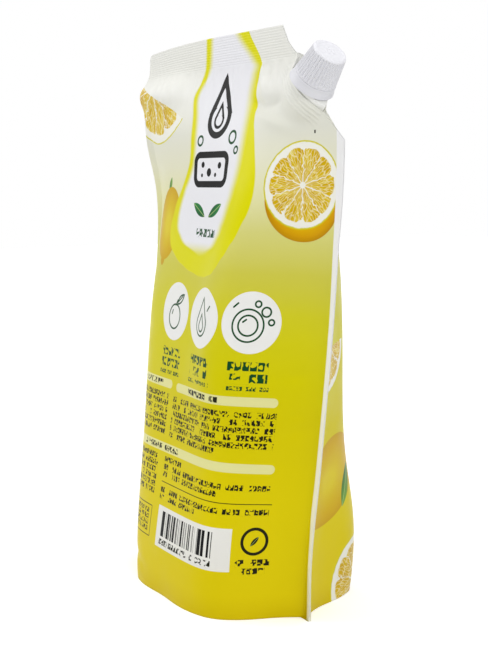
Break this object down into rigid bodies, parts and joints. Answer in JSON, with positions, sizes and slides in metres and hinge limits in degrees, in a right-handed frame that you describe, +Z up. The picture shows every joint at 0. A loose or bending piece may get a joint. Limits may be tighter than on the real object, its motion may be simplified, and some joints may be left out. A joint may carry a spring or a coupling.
{
  "type": "soap refill pouch",
  "caption": "Standing film pouch of dish soap with a ribbed top seal, a cut corner holding a moulded spout, a tamper ring and a knurled screw cap.",
  "frame": {"origin": "middle of the base, on the surface that the pouch stands on", "axes": "+Z up, +X towards the side seam below the spout, -Y the way the information panel faces"},
  "size_m": [0.1701, 0.0894, 0.288],
  "materials": {
    "film": "gloss laminate film, printed inside",
    "spout": "natural white moulded polyethylene",
    "cap": "white moulded polypropylene, satin"
  },
  "bodies": {
    "pouch": {"pouch": "film", "spout": "spout"},
    "ring": {"tamper_ring": "cap"},
    "cap": {"screw_cap": "cap"}
  },
  "joints": [
    {"name": "ring_turn", "type": "hinge", "parent": "pouch", "child": "ring", "pos_m": [0.0619, 0.002, 0.2601], "axis": [0.7071, 0, 0.7071], "range_deg": [0, 720]},
    {"name": "cap_rise", "type": "slide", "parent": "ring", "child": "cap", "axis": [0.7071, 0, 0.7071], "range_m": [0, 0.008]}
  ],
  "couplings": [
    {"joint": "cap_rise", "follows": "ring_turn", "m_per_rad": 0.00063661}
  ]
}
